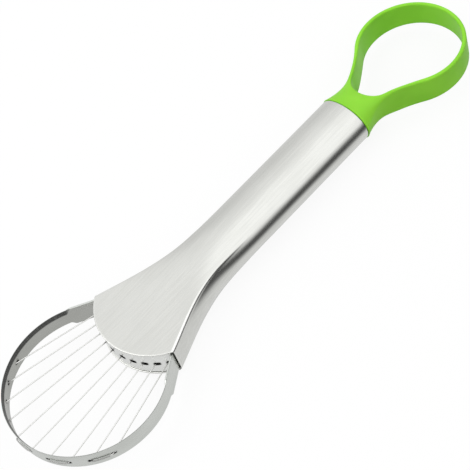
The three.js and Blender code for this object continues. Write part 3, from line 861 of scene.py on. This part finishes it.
def cuttingWire(index):
    # A round section carried along the hairpin, drawn in to a small rounding at either end
    w = wire
    line = stripLine(hairpin(2 * index, 2 * index + 1))
    tip = w["endRound"] * (1 - np.cos(np.linspace(0, np.pi / 2, w["tipSteps"])))
    run = np.concatenate([tip[:-1], line["run"][1:-1], line["run"][-1] - tip[-2::-1]])
    run = np.unique(np.round(run, 6))
    toEnd = np.minimum(run, line["run"][-1] - run)
    drawnIn = w["endRound"] * (1 - np.sqrt(1 - np.clip(1 - toEnd / w["endRound"], 0, 1) ** 2))
    radius = (w["diameter"] / 2 - drawnIn)[:, None]
    turn = np.linspace(0, 2 * np.pi, w["sides"], endpoint=False)
    points = onStrip(line, run[:, None] + 0 * turn, radius * np.cos(turn), radius * np.sin(turn))
    number = np.arange(radius.size * turn.size).reshape(radius.size, turn.size)
    faces = gridCells(number, closeRows=False).reshape(-1, 4).tolist()
    faces += [number[0, ::-1].tolist(), number[-1].tolist()]
    place = np.stack([run[:, None] + 0 * turn, radius * np.cos(turn), radius * np.sin(turn)], -1) * 0.001
    fromMiddle = np.abs(run - line["run"][-1] / 2)
    stitchHalf = stitchRadius * np.abs(holeAngle[2 * index] - holeAngle[2 * index + 1]) / 2
    # painted shade: the stitch round the outside of the hoop is darker
    dull = w["stitchShade"] * ease(1 + stitchHalf - fromMiddle)
    # painted shade: the wire ends near the anchor are painted black
    bright = (ease((toEnd - w["shadedEnd"]) / w["shadedEndFade"]) - dull)[:, None] + 0 * turn
    notes = {"stripPlace": place.reshape(-1, 3), "unshadedWire": bright.ravel()}
    makePiece(f"drawn_wire_{index + 1}", points.reshape(-1, 3), faces, f"cutting_wire_{index + 1}",
              wireFinish, w["crease"], notes)


for pair in range(hoop["strands"] // 2):
    cuttingWire(pair)
for name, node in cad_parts.items():
    if name.startswith("wire_crimp"):
        node.material_slots[0].material = sleeveFinish


# Pit loop

loop = {
    "reach": 66.34, "radius": 23.3, "wall": 1.8, "height": 13.0, "tipHeight": 11.6, "edgeRadius": 0.85,
    "armHollow": 11.4, "armInnerHollow": 3.8, "neckWidth": 19.0, "neckPlace": 10.5, "collarLip": 0.45,
    "collarAngle": 27.2, "collarLength": 14.0,
    "openingStart": 10.3, "rearRadius": 9.7, "rearHollow": 11.3,
    "softLength": 20.0, "innerRound": 0.75, "seamRound": 0.3,
    "spigotLength": 14.0, "spigotWall": 1.8, "spigotFloor": 2.0, "spigotOverlap": 1.0,
    "spigotLead": 1.5, "spigotLeadDepth": 0.6, "spigotSteps": (20, 4, 4),
    "sideSteps": 40, "armSteps": 60, "ringSteps": 90, "columns": (16, 34, 34, 80),
    "rearCut": 25, "armCut": 21,  # where the runs of columns change over on the opening and the outer arm
    "steps": 30, "wallSteps": 10, "crease": 40,
}


def loopPlan():
    # Half of the moulding's plan as pairs of points, on the opening and on the outside. The arms are
    # bowed from the straight lines that touch the ring.
    p = loop
    centreX, gap = p["reach"] - p["radius"], hoop["fitGap"]
    collar = np.array([gap, handle["tubeWidth"] / 2 + p["collarLip"]])
    neck = np.array([p["neckPlace"], p["neckWidth"] / 2])
    rearX, insideRadius = p["openingStart"] + p["rearRadius"], p["radius"] - p["wall"]
    neckRun = centreX - neck[0]
    straightOuter = np.arcsin(p["radius"] / np.hypot(neckRun, neck[1])) - np.arctan2(neck[1], neckRun)
    straightInner = np.arcsin((insideRadius - p["rearRadius"]) / (centreX - rearX))
    armSlope = straightOuter + np.radians(p["armHollow"])
    innerSlope = straightInner + np.radians(p["armInnerHollow"])
    rearSlope = straightInner - np.radians(p["rearHollow"])
    collarBend = np.array([gap + (collar[1] - neck[1]) / np.tan(np.radians(p["collarAngle"])), neck[1]])
    ring = roundAbout(centreX, p["radius"], np.pi / 2 + armSlope, 0, p["ringSteps"])
    armBend = np.array([ring[0, 0] - (ring[0, 1] - neck[1]) / np.tan(armSlope), neck[1]])
    side = quadratic(collar, collarBend, neck, p["sideSteps"])
    arm = quadratic(neck, armBend, ring[0], p["armSteps"])
    rear = roundAbout(rearX, p["rearRadius"], np.pi, np.pi / 2 + rearSlope, p["armSteps"])
    inside = roundAbout(centreX, insideRadius, np.pi / 2 + innerSlope, 0, p["ringSteps"])
    rise, fall = np.tan(rearSlope), np.tan(innerSlope)
    bendX = (inside[0, 1] - rear[-1, 1] - fall * inside[0, 0] + rise * rear[-1, 0]) / (rise - fall)
    bend = np.array([bendX, rear[-1, 1] + rise * (bendX - rear[-1, 0])])
    innerArm = quadratic(rear[-1], bend, inside[0], p["armSteps"])
    rearCut, armCut = p["rearCut"], p["armCut"]
    innerRuns = [rear[:rearCut + 1], rear[rearCut:], innerArm, inside]
    outerRuns = [
        np.array([[gap, 0.0], collar]), np.concatenate([side, arm[1:armCut + 1]]), arm[armCut:], ring,
    ]
    inner = np.concatenate([respaced(a, n)[:-1] for a, n in zip(innerRuns, p["columns"])] + [inside[-1:]])
    outer = np.concatenate([respaced(b, n)[:-1] for b, n in zip(outerRuns, p["columns"])] + [ring[-1:]])
    outline = np.concatenate([side, arm[1:], ring[1:]])
    return inner, outer, outline, centreX, ring[0, 0]


def loopHeights(x, y, outline, centreX, leaveX):
    # Half-height at a plan point: an oval at the collar that flattens along it, with the section's
    # corner falling away over the distance to the outside
    p = loop
    gap = hoop["fitGap"]
    flat = ease((x - gap) / p["collarLength"])
    slope = np.gradient(outline[:, 1], outline[:, 0])
    back = outline[:, 0] <= leaveX
    halfWidth = np.interp(x, outline[back, 0], outline[back, 1])
    lean = 1 / np.sqrt(1 + np.interp(x, outline[back, 0], slope[back]) ** 2)
    byWidth = (halfWidth - np.abs(y)) * between(1.0, lean, flat)
    byRing = p["radius"] - np.hypot(x - centreX, y)
    away = np.maximum(np.where(x <= leaveX, byWidth, byRing), 0)
    alongArms = np.clip((x - gap - p["collarLength"]) / (p["reach"] - gap - p["collarLength"]), 0, 1)
    flatHeight = between(p["height"], p["tipHeight"], alongArms)
    halfHeight = between(handle["tubeHeight"] / 2, flatHeight / 2, flat)
    tight = ease((x - gap) / p["softLength"])
    cornerY = between(halfWidth - handle["ovalFlat"], p["edgeRadius"], tight)
    cornerZ = between(halfHeight - handle["ovalFlat"], p["edgeRadius"], tight)
    fall = np.clip(1 - away / cornerY, 0, 1)
    return halfHeight - cornerZ + cornerZ * np.sqrt(1 - fall**2)


def pitLoop():
    # Columns run round the opening; rows run up its wall, over the top to the outside, down and back
    p = loop
    inner, outer, outline, centreX, leaveX = loopPlan()
    flip = np.array([1, -1])
    inner = np.concatenate([inner, (inner * flip)[-2:0:-1]])
    outer = np.concatenate([outer, (outer * flip)[-2:0:-1]])
    share = np.sin(np.linspace(0, np.pi / 2, p["steps"])) ** 2
    plan = between(inner, outer, share[:, None, None])
    x, y = plan[..., 0], plan[..., 1]
    z = loopHeights(x, y, outline, centreX, leaveX)
    fromInside = np.hypot(x - inner[:, 0], y - inner[:, 1])
    z = z - p["innerRound"] * (1 - np.sqrt(1 - np.clip(1 - fromInside / p["innerRound"], 0, 1) ** 2))
    fromSeam = np.clip(1 - (x - hoop["fitGap"]) / p["seamRound"], 0, 1)
    drawnIn = p["seamRound"] * (1 - np.sqrt(1 - fromSeam**2))
    y = y * (1 - drawnIn / (handle["tubeWidth"] / 2 + p["collarLip"]))
    z = z * (1 - drawnIn / (handle["tubeHeight"] / 2))
    wall = np.linspace(-1, 1, p["wallSteps"])[1:-1, None]
    rows = [
        (x[:1] + 0 * wall, y[:1] + 0 * wall, z[:1] * wall), (x, y, z),
        (x[-1:] + 0 * wall, y[-1:] + 0 * wall, -z[-1:] * wall), (x[::-1], y[::-1], -z[::-1]),
    ]
    points = np.stack([np.concatenate([r[k] for r in rows]) for k in range(3)], -1)
    cells = gridCells(np.arange(points[..., 0].size).reshape(points.shape[:2]))
    body, bodyFaces = points.reshape(-1, 3), cells.reshape(-1, 4)

    # The spigot is a cup: its floor, the pocket's wall, the rim, the lead and the outside
    around = ovalAround(*p["spigotSteps"])
    trim = np.array([p["spigotWall"]] * 2 + [p["spigotLeadDepth"], 0.0, 0.0])[:, None]
    length, lead = p["spigotLength"], p["spigotLead"]
    cupX = np.array([-p["spigotFloor"], -length, -length, lead - length, p["spigotOverlap"]])[:, None]
    cupX = cupX + 0 * around[0]
    halfWidth = handle["tubeWidth"] / 2 - handle["wall"] - hoop["fitGap"] - trim
    halfHeight = handle["tubeHeight"] / 2 - handle["wall"] - hoop["fitGap"] - trim
    flatEnd = handle["ovalFlat"]
    cupY, cupZ = ovalAt(around, halfWidth, halfHeight, halfWidth - flatEnd, halfHeight - flatEnd)
    cup = np.stack([cupX, cupY, cupZ], -1)
    number = len(body) + np.arange(cupX.size).reshape(cupX.shape)
    cupFaces = gridCells(number, closeRows=False).reshape(-1, 4)[:, ::-1]
    faces = bodyFaces.tolist() + cupFaces.tolist() + [number[0].tolist(), number[-1, ::-1].tolist()]
    makePiece("lime_loop", np.concatenate([body, cup.reshape(-1, 3)]), faces,
              "pit_loop", limeFinish, p["crease"])


pitLoop()

print("all pieces are made")
